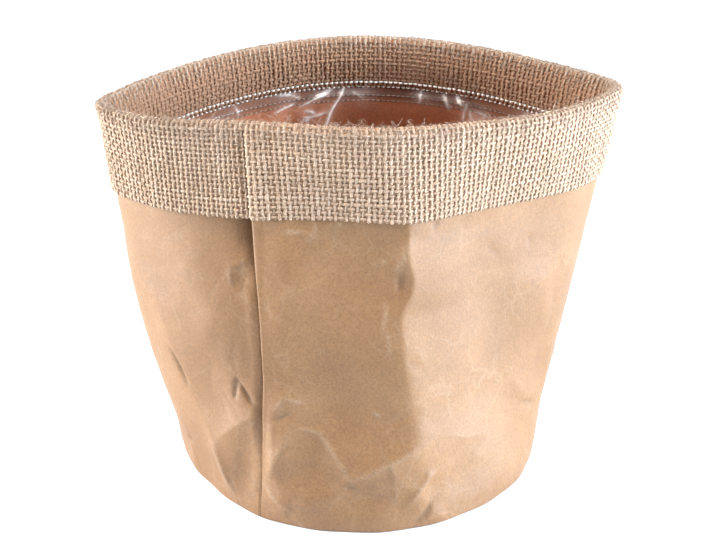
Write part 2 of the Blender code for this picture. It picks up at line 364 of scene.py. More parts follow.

# Creases seen on the front: points as arc and height, outward height and width, in mm, then wear and crack;
# the crack is a notch with a painted shadow along it
frontCreases = [
    ([(-98, 69.5), (-93.5, 61.5), (-90, 52.5)], -1.1, 1.8, 0.4, 1.0),
    ([(-63.5, 65), (-64.5, 54.5)], -0.8, 1.2, 0.3, 1.0),
    ([(-63.5, 65), (-59, 58.5), (-55, 53)], -1.0, 1.5, 0.4, 0.9),
    ([(-46, 53.5), (-41, 59.5)], 0.8, 1.6, 0.9, 0.3),
    ([(-41, 59.5), (-34.5, 57.5)], 0.9, 1.6, 0.9, 0.2),
    ([(-46.5, 49), (-38.5, 52.5)], -0.8, 1.5, 0.6, 0.6),
    ([(-38.5, 48), (-43, 34), (-51, 16)], 1.4, 6.0, 0.35, 0.0),
    ([(-37, 47), (-26.5, 44), (-21.5, 37.5), (-16, 30), (-12, 24)], 1.1, 3.0, 0.7, 0.1),
    ([(-12, 24), (0.5, 31), (16, 38.5)], 1.3, 4.0, 0.7, 0.0),
    ([(-15, 19.5), (-12, 21.5), (-9.5, 19)], -0.9, 1.6, 0.9, 0.4),
    ([(19.5, 26), (22, 24), (17.5, 19), (11, 11)], 0.9, 2.5, 0.6, 0.2),
    ([(14.5, 2), (18.5, 6.5), (22, 10.5)], -1.0, 1.6, 0.3, 0.9),
    ([(-78, 30.5), (-72.5, 18.5), (-66, 6.5)], 1.8, 5.0, 0.5, 0.5),
    ([(-75, 33), (-65, 42), (-55, 50)], 0.6, 4.0, 0.4, 0.0),
    ([(-50.5, 17.5), (-44, 12.5), (-36.5, 7.5)], 1.0, 2.6, 0.6, 0.1),
    ([(-104.5, 20), (-102, 17)], -0.8, 1.8, 0.2, 0.8),
    ([(4, 80), (3, 91)], 0.5, 2.0, 0.6, 0.0),
    ([(-3, 54), (0, 52)], 0.6, 1.4, 0.8, 0.2),
    ([(-63.5, 112.5), (-59.5, 114.5), (-53.5, 118)], 0.7, 1.3, 0.4, 1.0),
    ([(-63.5, 112.5), (-62.5, 110.5), (-63, 106)], 0.7, 1.2, 0.4, 1.0),
    ([(-25, 136), (-25, 131), (-29, 128.5)], 0.5, 1.2, 1.0, 0.1),
    ([(-14, 136.5), (-16.5, 133.5)], 0.4, 1.2, 0.8, 0.0),
    ([(-38, 131.5), (-26.5, 131)], 0.3, 1.2, 0.8, 0.0),
    ([(12, 130), (10, 121.5), (6.5, 116)], 0.8, 2.0, 0.9, 0.0),
    ([(3, 103.5), (2.5, 97.5), (0.5, 89)], 0.5, 1.6, 0.8, 0.0),
    ([(-48, 101), (-47.5, 97.5)], -0.5, 1.2, 0.8, 0.3),
    ([(5.5, 121.5), (-2, 118.5)], 0.3, 1.5, 0.6, 0.0),
    ([(25.5, 136.5), (22.5, 132)], -0.4, 1.2, 0.1, 1.0),
    ([(19.5, 130), (32, 126), (44.5, 125), (61, 123)], 0.18, 3.0, 0.1, 0.3),
    ([(51, 119), (59.5, 112.5)], -0.2, 2.2, 0.1, 0.4),
    ([(77, 118), (76.5, 113.5)], -0.4, 1.6, 0.2, 0.4),
    ([(50.5, 85), (43.5, 76.5)], 0.18, 2.6, 0.3, 0.2),
    ([(24, 59.5), (35, 56.5)], 0.18, 2.4, 0.4, 0.1),
    ([(31, 40), (44, 35), (56.5, 32.5)], 0.25, 3.6, 0.4, 0.1),
    ([(22.5, 11.5), (19, 4.5)], -0.7, 1.4, 0.4, 0.9),
    ([(96, 30), (90, 33.5), (82, 36)], -1.2, 2.4, 0.3, 0.6),
]
# Long soft folds with flat paper on both sides: arc, height, lean, reach in mm, slope
facetFolds = [
    (-14, 36, 40, 24, 0.14), (2, 31, -65, 22, 0.16), (-45, 30, 12, 26, 0.16), (-72, 20, 25, 22, 0.18),
    (-92, 60, 20, 24, 0.14), (-60, 58, 35, 20, 0.08), (-66, 40, -48, 26, 0.10), (18, 14, 45, 18, 0.16),
    (-28, 16, -30, 20, 0.13), (45, 38, -70, 24, 0.05), (60, 20, 30, 24, 0.03), (40, 122, -80, 24, 0.03),
    (70, 105, 40, 24, 0.03), (-85, 110, 30, 26, 0.05), (-36, 110, -25, 24, 0.07), (-20, 90, 35, 26, 0.06),
    (84, 40, 40, 20, 0.14), (-100, 90, 60, 22, 0.10), (-75, 85, -30, 24, 0.05),
]
# Shallow dents: arc, height, half sizes across and up, depth, all in mm
frontDents = [
    (10.0, 111.5, 3.6, 7.2, 1.6), (-57, 110, 5.0, 6.0, 0.6), (-58, 25, 9.0, 14.0, 1.0),
    (-5, 12, 13.0, 8.0, 1.0), (24, 14, 6.0, 9.0, 0.9), (-28, 24, 10.0, 9.0, 0.9),
    (97, 55, 9.0, 24.0, 0.9), (98, 92, 8.0, 16.0, 0.8),
]


# Distance from a line on the unrolled sheet, in mm, and the share run along it
def lineDistance(px, py, line):
    centre = np.mean([point[0] for point in line])
    px = wrapped(px - centre, around / mm) + centre
    best, along = np.full(px.shape, 1e9), np.zeros(px.shape)
    steps = len(line) - 1
    for k in range(steps):
        (ax, ay), (bx, by) = line[k], line[k + 1]
        dx, dy = bx - ax, by - ay
        share = np.clip(((px - ax) * dx + (py - ay) * dy) / (dx * dx + dy * dy), 0, 1)
        away = np.hypot(px - ax - share * dx, py - ay - share * dy)
        nearer = away < best
        best = np.where(nearer, away, best)
        along = np.where(nearer, (k + share) / steps, along)
    return best, along


# Three points through a middle, bent to one side
def bentLine(middle, angle, half, bend):
    step = np.array([math.cos(angle), math.sin(angle)]) * half
    aside = np.array([-step[1], step[0]]) * bend
    return [tuple(middle - step), tuple(middle + aside), tuple(middle + step)]


# The seen creases, and small random ones all round
def paperCreases():
    random = np.random.default_rng(paper["seed"])
    pick = random.uniform
    lines = list(frontCreases)
    for k in range(paper["randomCreases"]):
        arc = pick(-around / 2, around / 2) / mm
        height = pick(-4, 135)
        angle = pick(0, math.pi)
        length = pick(6, 26) * (1.3 if height < 50 else 0.9)
        line = bentLine(np.array([arc, height]), angle, length / 2, pick(-0.3, 0.3))
        calm = 0.35 if 16 < arc < 90 and height > 22 else 0.8  # the right side is smooth
        depth = pick(0.08, 0.42) * random.choice([-1, 1]) * (1.2 if height < 55 else 0.7) * calm
        width = pick(1.5, 4.5)
        worn = pick(0.05, 0.35) * calm
        lines.append((line, depth, width, worn, pick(0, 0.5) ** 2 * calm))
    return lines


# Outward relief of the paper, pale wear of its creases and painted shadow in their cracks, and its calm right
# side
def paperRelief(arc, height):
    random = np.random.default_rng(paper["seed"] + 1)
    relief, wear, paintedCrackShade = np.zeros(arc.shape), np.zeros(arc.shape), np.zeros(arc.shape)
    for k in range(paper["waves"]):
        waves = random.integers(2, 14)
        across = random.uniform(-60, 60)
        phase = random.uniform(0, 2 * math.pi)
        size = random.uniform(0.07, 0.2)
        relief += size * np.sin(arc / around * 2 * math.pi * waves + height * across + phase)
    px, py = arc / mm, height / mm
    for line, depth, width, worn, crackedAndShaded in paperCreases():
        away, along = lineDistance(px, py, line)
        taper = np.sin(math.pi * np.clip(along * 0.96 + 0.02, 0, 1)) ** 0.6
        relief += (1.5 * depth * np.exp(-away / (0.75 * width)) - 0.35 * crackedAndShaded * bell(away / 0.9)) * taper
        wear += worn * bell(away / 0.6) * taper
        # The crack amount carries a painted shadow into the colour
        paintedCrackShade += crackedAndShaded * bell(away / 0.75) * taper
    for arcAt, heightAt, lean, half, slope in facetFolds:
        near, above = wrapped(px - arcAt, around / mm), py - heightAt
        side = near * math.cos(math.radians(lean)) + above * math.sin(math.radians(lean))
        relief += slope * (half * 0.6 - np.sqrt(side * side + 0.25)) * bell(np.hypot(near, above) / half)
    for arcAt, heightAt, halfAcross, halfUp, depth in frontDents:
        far = np.hypot(wrapped(px - arcAt, around / mm) / halfAcross, (py - heightAt) / halfUp)
        relief -= depth * (1 - smooth(0.25, 1.3, far))
    calm = smooth(14, 24, px) * (1 - smooth(95, 115, px))
    relief = relief * (1 - 0.82 * calm * (1 - smooth(80, 95, px)) * smooth(30, 46, py))
    room = np.interp(py, (8, 22), (0.1, 1))  # the turned edge behind leaves no room for dents
    relief = np.where(relief < 0, relief * room, relief)
    return relief * mm * smooth(0.3, 4, py), np.clip(wear, 0, 1), np.clip(paintedCrackShade, 0, 1), calm


# Darkens and lightens a colour by a noise
def addClouds(tree, colour, share, noise, low, high):
    return addMix(tree, "MULTIPLY", share, colour, addRamp(tree, noise, low, high))


# Kraft paper: cloudy pulp, flecks, fine upright fibres, faint wrinkles, pale worn creases and painted shadow
# in cracks
def makeKraftGroup():
    group, enter, leave = makeGroup("kraftSheet", ("Light", "Dark", "Worn"), "Wear")
    coords = objectCoords(group)
    cloud = addRange(group, addNoise(group, coords, 55, 4, 0.6), 0.32, 0.68)
    tone = addMix(group, "MIX", cloud, enter["Dark"], enter["Light"])
    fleck = addNoise(group, coords, 1100, 4, 0.7)
    tone = addClouds(group, tone, 0.8, fleck, (0.35, (0.72, 0.69, 0.66)), (0.65, (1.15, 1.15, 1.15)))
    stretched = addNode(group, "Mapping", coords, Scale=(1, 1, 0.4)).outputs["Vector"]
    fibre = addNoise(group, stretched, 1300, 2, 0.5)
    tone = addClouds(group, tone, 0.3, fibre, (0.3, (0.82, 0.82, 0.82)), (0.7, (1.1, 1.1, 1.1)))
    speck = addRange(group, addNoise(group, coords, 420, 2, 0.4), 0.72, 0.80)
    tone = addMix(group, "MULTIPLY", speck, tone, (0.86, 0.83, 0.8))
    lively = addRange(group, readAttribute(group, "calm"), 0, 1, 1, 0.12)  # less on the smooth side
    broad = addNoise(group, coords, 17, 3, 0.55)
    tone = addClouds(group, tone, lively, broad, (0.34, (0.90, 0.88, 0.86)), (0.66, (1.05, 1.055, 1.06)))
    wander = addNoise(group, coords, 95, 2, 0.5, "Color")
    bent = addNode(group, "VectorMath", wander, (0.014, 0.014, 0.014), coords, operation="MULTIPLY_ADD")
    cells = addNode(group, "TexVoronoi", bent.outputs[0], feature="DISTANCE_TO_EDGE", Scale=62)
    wrinkle = times(group, addRange(group, cells.outputs["Distance"], 0.0, 0.05, 1, 0), lively)
    wrinkle = times(group, wrinkle, addRange(group, addNoise(group, coords, 34, 2, 0.5), 0.44, 0.64))
    tone = addMix(group, "MIX", times(group, wrinkle, 0.11), tone, enter["Worn"])
    rubbed = times(group, readAttribute(group, "wear"), addRange(group, fleck, 0.25, 0.7))
    tone = addMix(group, "MIX", times(group, rubbed, enter["Wear"]), tone, enter["Worn"])
    # Painted shadow: the crack lines are darkened as if shade lay in them
    crackShadow = times(group, readAttribute(group, "paintedCrackShade"), addRange(group, fleck, 0.2, 0.6, 0.2, 0.75))
    tone = addMix(group, "MULTIPLY", crackShadow, tone, (0.42, 0.34, 0.28))
    # Painted shade: the top band of the wall, behind the cuff and up inside the bag, is darkened as if in
    # shade rather than browner paper
    lap = readAttribute(group, "lap")  # the band behind the cuff is browner
    group.links.new(addMix(group, "MULTIPLY", lap, tone, (0.48, 0.48, 0.49)), leave["Color"])
    group.links.new(plus(group, plus(group, fleck, fibre), times(group, wrinkle, 0.6)), leave["Height"])
    return group


kraftGroup = makeKraftGroup()


def makePaperMaterial(name, *colours):
    return makeSkin(name, kraftGroup, colours, number=0.7, roughness=0.58, specular=0.45, bump=0.22)


paperSkin = makePaperMaterial("kraftPaper",
                              (0.242, 0.115, 0.0415), (0.213, 0.0985, 0.0345), (0.42, 0.30, 0.19))
# Painted light: a brighter, redder copy of the kraft for the inner face, standing in for the warm bounced
# light in the dim bag, partly the deeper colour of paper under the film
insideBrightenedSkin = makePaperMaterial("kraftPaperInsidePaintedLight",
                               (0.68, 0.25, 0.113), (0.59, 0.21, 0.092), (0.72, 0.34, 0.18))
baseSkin = makePaperMaterial("kraftPaperBase",
                             (0.24, 0.127, 0.065), (0.20, 0.105, 0.052), (0.34, 0.25, 0.17))


def thicken(made):
    thick = made.modifiers.new("thickness", "SOLIDIFY")
    thick.thickness = paper["thickness"]
    thick.offset = 0
    return thick


# Columns of the wall, from the left flap round the bag to the right one: arc from the seam, and depth
def wallColumns(wallIn, flapIn, underIn):
    columns = [(a * mm, underIn) for a in (10, 7.5, 5, 2.5, 0.8)]
    slope = ((-0.4, 0.86), (-1.2, 0.66), (-2.2, 0.48), (-3.4, 0.32), (-5, 0.22))  # down under the right side
    columns += [(a * mm, underIn * share) for a, share in slope]
    arc = -6.2 * mm
    while arc > 2.4 * mm - around:
        columns.append((arc, wallIn + 0.3 * mm * float(smooth(-14 * mm, -6 * mm, arc))))
        seen = abs(wrapped(arc + bag["seamArc"], around)) < paper["fineWithin"]
        arc -= paper["fineStep"] if seen else paper["wideStep"]
    columns += [(a * mm - around, wallIn) for a in (1.6, 0.9, 0.4)]
    bend = (flapIn - wallIn) / 2
    for k in range(1, 4):
        angle = math.pi * k / 4
        columns.append((0.4 * mm - bend * math.sin(angle) - around, wallIn + bend * (1 - math.cos(angle))))
    return np.array(columns + [(a * mm - around, flapIn) for a in (0.5, 2.5, 5, 7.5, 10)])


# Paper tube: one sheet with its side seam turned inside and its lower edge turned in
def makePaperWall():
    layer, gap, radius = paper["layer"], paper["gap"], paper["foldRadius"]
    wallIn = layer / 2
    flapIn = wallIn + layer + gap
    turnIn = wallIn + 2 * radius
    columns = wallColumns(wallIn, flapIn, flapIn + layer + gap)
    last = len(columns)
    lowest = layer / 2 + 0.1 * mm + radius
    rows = [(8 * mm, turnIn), (5 * mm, turnIn), (2.5 * mm, turnIn), (lowest, turnIn)]
    for k in range(1, 6):
        angle = math.pi * k / 6
        rows.append((lowest - radius * math.sin(angle), wallIn + radius * (1 + math.cos(angle))))
    turned = len(rows)
    levels = [lowest + 0.2 * mm]
    while levels[-1] < bag["rimHeight"] - bag["cuffHeight"] + paper["lap"]:
        levels.append(levels[-1] + (paper["lowRow"] if levels[-1] < 70 * mm else paper["highRow"]))
    mesh, i, j = gridMesh("paperWall", last, turned + len(levels))
    across, inColumn = columns[i].T
    arc = across + bag["seamArc"]
    cuffEdge = rimLevel(turnOf(arc)) - bag["cuffHeight"]
    share = (np.array([levels[0]] * turned + levels)[j] - levels[0]) / (levels[-1] - levels[0])
    fixed, inRow = np.array(rows + [(0.0, wallIn)] * len(levels))[j].T
    height = np.where(j < turned, fixed, levels[0] + (cuffEdge + paper["lap"] - levels[0]) * share)
    opened = smooth(bag["baseTurn"], bag["baseTurn"] + 4.5 * mm, height)
    tucked = (across > -1 * mm) * seam["tuck"]  # the left edge stays under the fold down to the foot
    inward = inRow + (inColumn - wallIn) * opened + tucked * (1 - opened)
    relief, wear, paintedCrackShade, calm = paperRelief(arc, height)
    ripple = 1 + np.sin(arc * 171 + 1) * np.sin(arc * 73 + 2)  # the foot stands out unevenly
    foot = paper["footRipple"] * ripple * (1 - smooth(6 * mm, 22 * mm, height)) * (inRow < turnIn)
    edge = np.where(j < turned, 0.0, 1.0)
    onRight = across < -around / 2
    fromSeam = np.where(onRight, across + around, across)
    dip = 0.0
    for depth, half, low, high in seam["dips"]:
        dip = dip + depth * bell((fromSeam + 0.5 * mm) / half) * ~onRight * smooth(low, high, height)
    start, top, end = seam["lipReach"]
    lip = seam["lip"] * smooth(start, top, fromSeam) * (1 - smooth(top, end, fromSeam)) * onRight * opened
    under = smooth(-1 * mm, 5 * mm, height - cuffEdge)
    atSeam = 0.4 + 0.6 * smooth(1.0 * mm, 5 * mm, np.abs(fromSeam))
    relief = relief * atSeam * (1 - 0.85 * under) + lip * (1 - under)
    turn = turnOf(arc + seamLean(fromSeam, height))
    setPoints(mesh, place(turn, height, inward - foot + (dip * (1 - 0.6 * under) - relief) * edge))
    addAttribute(mesh, "wear", wear * edge)
    addAttribute(mesh, "paintedCrackShade", paintedCrackShade * edge)
    addAttribute(mesh, "calm", calm)
    # Painted shade: marks the wall's top band, down to this drop below the rim, for darkening
    shadedBand = height - cuffEdge - bag["cuffHeight"] + paper["paintedShadeDrop"]
    addAttribute(mesh, "lap", smooth(-0.4 * mm, 0.4 * mm, shadedBand))
    footAt, headAt = np.where(j < turned, 0, height), height - cuffEdge

    # The loose flaps end above the turned edge and below the hem
    def isCut(points):
        low, high = i[points].min(), i[points].max()
        lowAt = footAt[points].min()
        if (low < 3 or high > last - 7) and (lowAt < 12.4 * mm or headAt[points].max() > 9 * mm):
            return True
        return (low < 4 or high > last - 7) and lowAt < 0.5 * mm

    faceOut(mesh, isCut)
    made = addObject("paperWall", mesh, paperSkin)
    mesh.materials.append(insideBrightenedSkin)
    thicken(made).material_offset = 1
    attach(made, "root")
    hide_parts("paper_wall")
    print("paper wall", len(mesh.polygons) * 4, "triangles")


makePaperWall()

# Round base, a shallow tray whose edge stands up inside the wall; the edge is height and way in, from its top
tray = dict(rings=26, columns=120, inward=2.7 * mm, hole=0.02, wrinkles=40, seed=5,
            edge=((8, 0), (5, 0), (2.4, 0), (1.2, 0.1), (0.55, 0.35), (0.3, 1.0)))


def makePaperBase():
    rings, turnUp = tray["rings"], len(tray["edge"])
    profile = np.array(tray["edge"] + tray["edge"][-1:] * rings) * mm
    mesh, i, j = gridMesh("paperBase", tray["columns"], len(profile), closed=True)
    points = place(2 * math.pi * i / tray["columns"], profile[j, 0], tray["inward"] + profile[j, 1])
    share = np.clip((j - turnUp + 1) / (rings + 0.6), 0, 1)
    points[:, :2] *= 1 - share[:, None]
    random = np.random.default_rng(tray["seed"])
    pick = random.uniform
    lift = np.zeros(len(points))
    for k in range(tray["wrinkles"]):
        angle = pick(0, math.pi)
        offset = pick(-0.07, 0.07)
        along = pick(-0.05, 0.05)
        away = np.abs(points[:, 0] * math.cos(angle) + points[:, 1] * math.sin(angle) - offset)
        run = -points[:, 0] * math.sin(angle) + points[:, 1] * math.cos(angle) - along
        lift += pick(0.05, 0.25) * np.exp(-away / (3 * mm)) * bell(run / (14 * mm))
    points[:, 2] += lift * mm * smooth(0.0, 0.2, share) * (j >= turnUp)
    setPoints(mesh, points)
    addAttribute(mesh, "wear", np.clip(lift * 1.2, 0, 0.7))
    faceOut(mesh, hole=tray["hole"])
    made = addObject("paperBase", mesh, baseSkin)
    thicken(made)
    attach(made, "root")
    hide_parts("paper_base")
    print("paper base done")


makePaperBase()

# Burlap: plain weave of jute yarn, up the outside, over the rim and down inside; the yarns of the hem are
# flatter and fuller, and the cloth dips left of the side seam and stands proud right of it
cloth = dict(outIn=-1.3 * mm, hemIn=2.4 * mm, warpPitch=2.22 * mm, weftPitch=1.99 * mm, warpLift=0.03 * mm,
             warpWave=0.30 * mm, weftWave=0.39 * mm, warpRadius=0.63 * mm, weftRadius=0.59 * mm,
             zigzag=0.16 * mm, drift=0.10 * mm, slub=0.13, hemFlatter=0.35, hemFuller=0.22, slit=0.2 * mm,
             seamDip=0.9 * mm, seamProud=1.1 * mm, hemBelly=1.2 * mm, samples=3, seed=3)
foldRadius = (cloth["hemIn"] - cloth["outIn"]) / 2
crown = 0.6 * mm + foldRadius
outerRun = bag["cuffHeight"] - crown
hemRun = outerRun + math.pi * foldRadius
clothRun = hemRun + bag["hemHeight"] - crown
clothRound = around - 2 * cloth["slit"]


# Point of the cuff at an arc and a distance run from its lower edge, lifted off the cloth
def cuffPoint(arc, run, lift):
    angle = np.clip((run - outerRun) / foldRadius, 0, math.pi)
    hem = np.clip(run - outerRun - math.pi * foldRadius, 0, None)
    drop = np.where(run < outerRun, bag["cuffHeight"] - run, crown - foldRadius * np.sin(angle) + hem)
    inward = cloth["outIn"] + foldRadius * (1 - np.cos(angle))
    away = wrapped(arc - bag["seamArc"], around)
    outer = np.clip(1 - (run - outerRun + 4 * mm) / (5 * mm), 0, 1)
    height = rimLevel(turnOf(arc)) - drop
    turn = turnOf(arc + seamLean(away, height))
    dip = cloth["seamDip"] * smooth(-5 * mm, -0.3 * mm, away) * (away < 0) * outer
    dip -= cloth["seamProud"] * bell((away - 3 * mm) / (4 * mm)) * (away > 0) * outer
    share = np.clip(hem / (bag["hemHeight"] - crown), 0, 1)
    belly = cloth["hemBelly"] * np.sin(math.pi * share) * (run > hemRun)
    return place(turn, height + lift * np.sin(angle), inward - lift * np.cos(angle) + dip + belly)


# Uneven thickness along a spun yarn
def slub(random, count, size, most):
    knots = random.normal(0, 1, count // size + 3)
    wave = 1 + cloth["slub"] * np.interp(np.arange(count), np.arange(len(knots)) * size, knots)
    return np.clip(wave * random.uniform(0.86, most), 0.6, 1.45)


# Spun yarn: strands that wind round the thread, by its own length and tone, and darker and redder inside the
# bag as painted shade
def makeYarnGroup():
    group, enter, leave = makeGroup("spunYarn", ("Dark", "Middle", "Light"), "Twist")
    coords = objectCoords(group)
    flat = addNode(group, "TexCoord").outputs["UV"]
    along, girth = addNode(group, "SeparateXYZ", flat).outputs[:2]
    run = times(group, times(group, along, readAttribute(group, "span")), enter["Twist"])
    wander = addNoise(group, coords, 600, 2, 0.5)
    phase = plus(group, plus(group, run, times(group, girth, 2.0)), wander)
    strand = addRange(group, addMath(group, "SINE", times(group, phase, 2 * math.pi)), -1, 1)
    fibre = addNoise(group, coords, 3000, 3, 0.65)
    patch = addNoise(group, coords, 120, 3, 0.6)
    level = plus(group, readAttribute(group, "tone"), addRange(group, patch, 0.3, 0.7, -0.1, 0.1))
    level = plus(group, level, addRange(group, strand, 0, 1, -0.13, 0.13))
    level = plus(group, level, addRange(group, fibre, 0.3, 0.7, -0.23, 0.23))
    low = addMix(group, "MIX", addRange(group, level, 0.0, 0.5), enter["Dark"], enter["Middle"])
    colour = addMix(group, "MIX", addRange(group, level, 0.5, 1.0), low, enter["Light"])
    # Painted shade: past the turn into the bag the yarn's tone is evened, then darkened and reddened
    shadedInside = addRange(group, addMath(group, "SUBTRACT", along, readAttribute(group, "turnAt")), -0.03, 0.06)
    colour = addMix(group, "MIX", times(group, shadedInside, 0.85), colour, enter["Middle"])
    group.links.new(addMix(group, "MULTIPLY", shadedInside, colour, (0.80, 0.645, 0.545)), leave["Color"])
    group.links.new(plus(group, strand, fibre), leave["Height"])
    return group


yarnGroup = makeYarnGroup()


def makeYarnMaterial(name, twist, roughness, *colours):
    return makeSkin(name, yarnGroup, colours, number=twist, roughness=roughness, specular=0.3, bump=0.5)


yarnSkin = makeYarnMaterial("juteYarn", 560.0, 0.75,
                            (0.252, 0.142, 0.079), (0.385, 0.248, 0.157), (0.462, 0.328, 0.231))


# Warp threads run up and over the rim, weft threads run round the bag
def makeBurlap():
    random = np.random.default_rng(cloth["seed"])
    warpCount = int(round(clothRound / cloth["warpPitch"]))
    warpGap = clothRound / warpCount
    warpArcs = bag["seamArc"] + cloth["slit"] + (np.arange(warpCount) + 0.5) * warpGap
    weftCount = int(clothRun // cloth["weftPitch"])
    weftGap = clothRun / weftCount
    weftRuns = (np.arange(weftCount) + 0.5) * weftGap
    pieces = []
    count = weftCount * cloth["samples"] + 1
    run = np.linspace(-0.3 * mm, clothRun + 0.5 * mm, count)
    hem = smooth(outerRun, hemRun, run)
    drift = random.normal(0, cloth["drift"], (warpCount, weftCount + 2))
    middle = warpCount // 2
    for name, chosen in (("warpFront", range(middle)), ("warpBack", range(middle, warpCount))):
        threads = []
        for k in chosen:
            beat = math.pi * (run / weftGap + 0.5 + k)
            shift = np.interp(run, np.linspace(0, clothRun, weftCount + 2), drift[k])
            shift = shift + cloth["zigzag"] * np.sin(beat)
            wave = cloth["warpWave"] * (1 - cloth["hemFlatter"] * hem) * np.cos(beat)
            points = cuffPoint(warpArcs[k] + shift, run, cloth["warpLift"] + wave)
            # The first warp is the turned edge of the cloth at its seam: thicker, and given a paler tone as a
            # painted highlight on its lit fold
            edge, paintedEdgeLight = (1.3, 0.12) if k < 1 else (1.0, 0)  # the turned edge of the cloth at its seam
            thick = cloth["warpRadius"] * slub(random, count, 7, 1.14) * edge * (1 + cloth["hemFuller"] * hem)
            threads.append((points, thick, random.uniform(0.34, 0.70) + paintedEdgeLight))
        pieces.append(threadMesh(name, threads, yarnSkin, turnAt=(hemRun + 1.5 * mm) / clothRun))
    count = warpCount * cloth["samples"]
    ends = bag["seamArc"] + np.linspace(cloth["slit"], around - cloth["slit"], count)
    split = int(np.searchsorted(weftRuns, hemRun))
    drift = random.normal(0, cloth["drift"], (weftCount, 120))
    for name, chosen, flatter, fuller, turnAt in (("weftOuter", range(split), 1, 1, 2.0),
                                                  ("weftInner", range(split, weftCount), 0.75, 1.3, -1.0)):
        threads = []
        for k in chosen:
            beat = math.pi * ((ends - warpArcs[0]) / warpGap + 1 + k)
            shift = np.interp(ends, np.linspace(ends[0], ends[-1], 120), drift[k])
            points = cuffPoint(ends, weftRuns[k] + shift, -cloth["weftWave"] * flatter * np.cos(beat))
            thick = cloth["weftRadius"] * slub(random, count, 9, 1.1) * fuller
            threads.append((points, thick, random.uniform(0.36, 0.72)))
        pieces.append(threadMesh(name, threads, yarnSkin, turnAt=turnAt))
    return pieces


# Sheet of painted shade behind the yarns, seen through the small holes of the weave as their shadow
shadeSheet = dict(columns=300, rows=40, innerLift=0.35 * mm)


def makeBurlapShadeSheet():
    columns, rows = shadeSheet["columns"], shadeSheet["rows"]
    mesh, i, j = gridMesh("burlapShadeSheet", columns, rows)
    arc = bag["seamArc"] + cloth["slit"] + clothRound * i / (columns - 1)
    run = clothRun * j / (rows - 1)
    inner = smooth(outerRun + 1 * mm, outerRun + 5 * mm, run)
    setPoints(mesh, cuffPoint(arc, run, shadeSheet["innerLift"] * inner))
    faceOut(mesh)
    addAttribute(mesh, "inner", inner)
    material, tree, shader = nodeMaterial("burlapShade", 0.95)
    noise = addNoise(tree, objectCoords(tree), 700, 3, 0.6)
    # Painted shadow of the holes, darker still inside the bag as painted shade
    tone = addRamp(tree, noise, (0.3, (0.35, 0.205, 0.115)), (0.7, (0.47, 0.29, 0.17)))
    tone = addMix(tree, "MULTIPLY", readAttribute(tree, "inner"), tone, (0.86, 0.69, 0.58))
    tree.links.new(tone, shader.inputs["Base Color"])
    made = addObject("burlapShadeSheet", mesh, material)
    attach(made, "root")
    return made


burlapShadeSheet = makeBurlapShadeSheet()
yarns = makeBurlap()
for piece in yarns:
    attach(piece, "root")
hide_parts("burlap_cuff")
print("burlap done")

# Clear liner: a loose film pouch that hangs from the hem; seen is the part that shows, as arcs and drop in mm
liner = dict(topIn=1.2 * mm, bodyIn=4.6 * mm, backStep=0.62 * mm, frontStep=2.4 * mm, fineRow=0.62 * mm,
             wideRow=3.2 * mm, floorRows=10, lowest=0.170, hole=0.02, pleats=300, highPleats=150, streak=0.42,
             seen=(150, 335), seenDrop=62, seed=21)

# Pleats seen on the back wall: points as arc and drop below the rim in mm, then inward height, width, shine
# and width of the streak; the shine is a painted highlight along the pleat
backPleats = [
    ([(258.2, 23.5), (264.2, 32.5), (267.2, 36.9), (269.7, 45.3), (273, 56)], 1.7, 1.3, 1.0, 0.5),
    ([(265.5, 34), (268.5, 41), (272, 54)], 0.8, 1.2, 0.5, 1.1),
    ([(260.7, 23.5), (270.7, 27.8), (281.2, 32.4)], 1.2, 1.0, 1.0, 0.5),
    ([(266, 26.5), (274, 29)], 0.3, 1.0, 0.35, 1.2),
    ([(283.7, 30.3), (289, 31.8), (294.2, 33.6)], 1.0, 0.9, 0.95, 0.35),
    ([(278.7, 35), (276, 35.5), (273.7, 36.7)], 0.9, 0.8, 1.0, 0.6),
    ([(279.2, 38.5), (273.7, 38.2), (268.2, 36.4)], 0.9, 0.8, 1.0, 0.6),
    ([(278.7, 40), (276.7, 39.6)], 0.7, 0.7, 1.0, 0.6),
    ([(277.7, 43.6), (274.7, 43.2)], 0.7, 0.7, 1.0, 0.6),
    ([(224, 24.8), (224, 31.8)], 0.9, 0.8, 0.9, 0.36),
    ([(214, 24.5), (211.5, 28.8), (209.5, 32.2)], 1.2, 1.0, 0.7, 0.8),
    ([(207, 25.4), (205.5, 27.8), (203.5, 29.6)], 1.2, 1.0, 1.0, 0.65),
    ([(201.5, 28.4), (202.5, 34.5), (202.5, 39)], 1.2, 1.0, 0.5, 0.6),
    ([(200, 31.3), (198.5, 35.1), (196, 37.4)], 1.0, 0.9, 0.5, 0.45),
    ([(196, 30.9), (190, 32.3), (187, 35)], 1.0, 0.9, 0.45, 0.4),
    ([(255.5, 27), (254, 28), (251, 30.2)], 0.5, 0.8, 0.5, 0.5),
    ([(312, 25.5), (311.5, 31)], 0.8, 1.0, 0.4, 0.5),
    ([(291.5, 25.5), (285, 26), (280.5, 28)], 0.6, 0.9, 0.5, 0.5),
]
# Places where the film lies doubled and looks milky, partly its own haze and partly painted reflection: arc,
# drop, half sizes, amount
backHazeAndSheen = [
    (252, 28.5, 6.5, 6, 0.17), (316.5, 28.5, 6, 4, 0.06), (286.7, 24.8, 5.5, 1.2, 0.4),
    (298, 27.5, 14, 3.5, 0.04), (168, 26, 7, 3.5, 0.15), (221, 28.5, 7, 3.5, 0.12),
    (197, 34.5, 6, 5, 0.25), (240, 27, 90, 4.5, 0.02),
]


def linerInward(drop):
    start = bag["hemHeight"] + 0.6 * mm
    end = bag["cuffHeight"] - bag["paperLap"] - 0.6 * mm
    return liner["topIn"] + (liner["bodyIn"] - liner["topIn"]) * np.clip((drop - start) / (end - start), 0, 1)


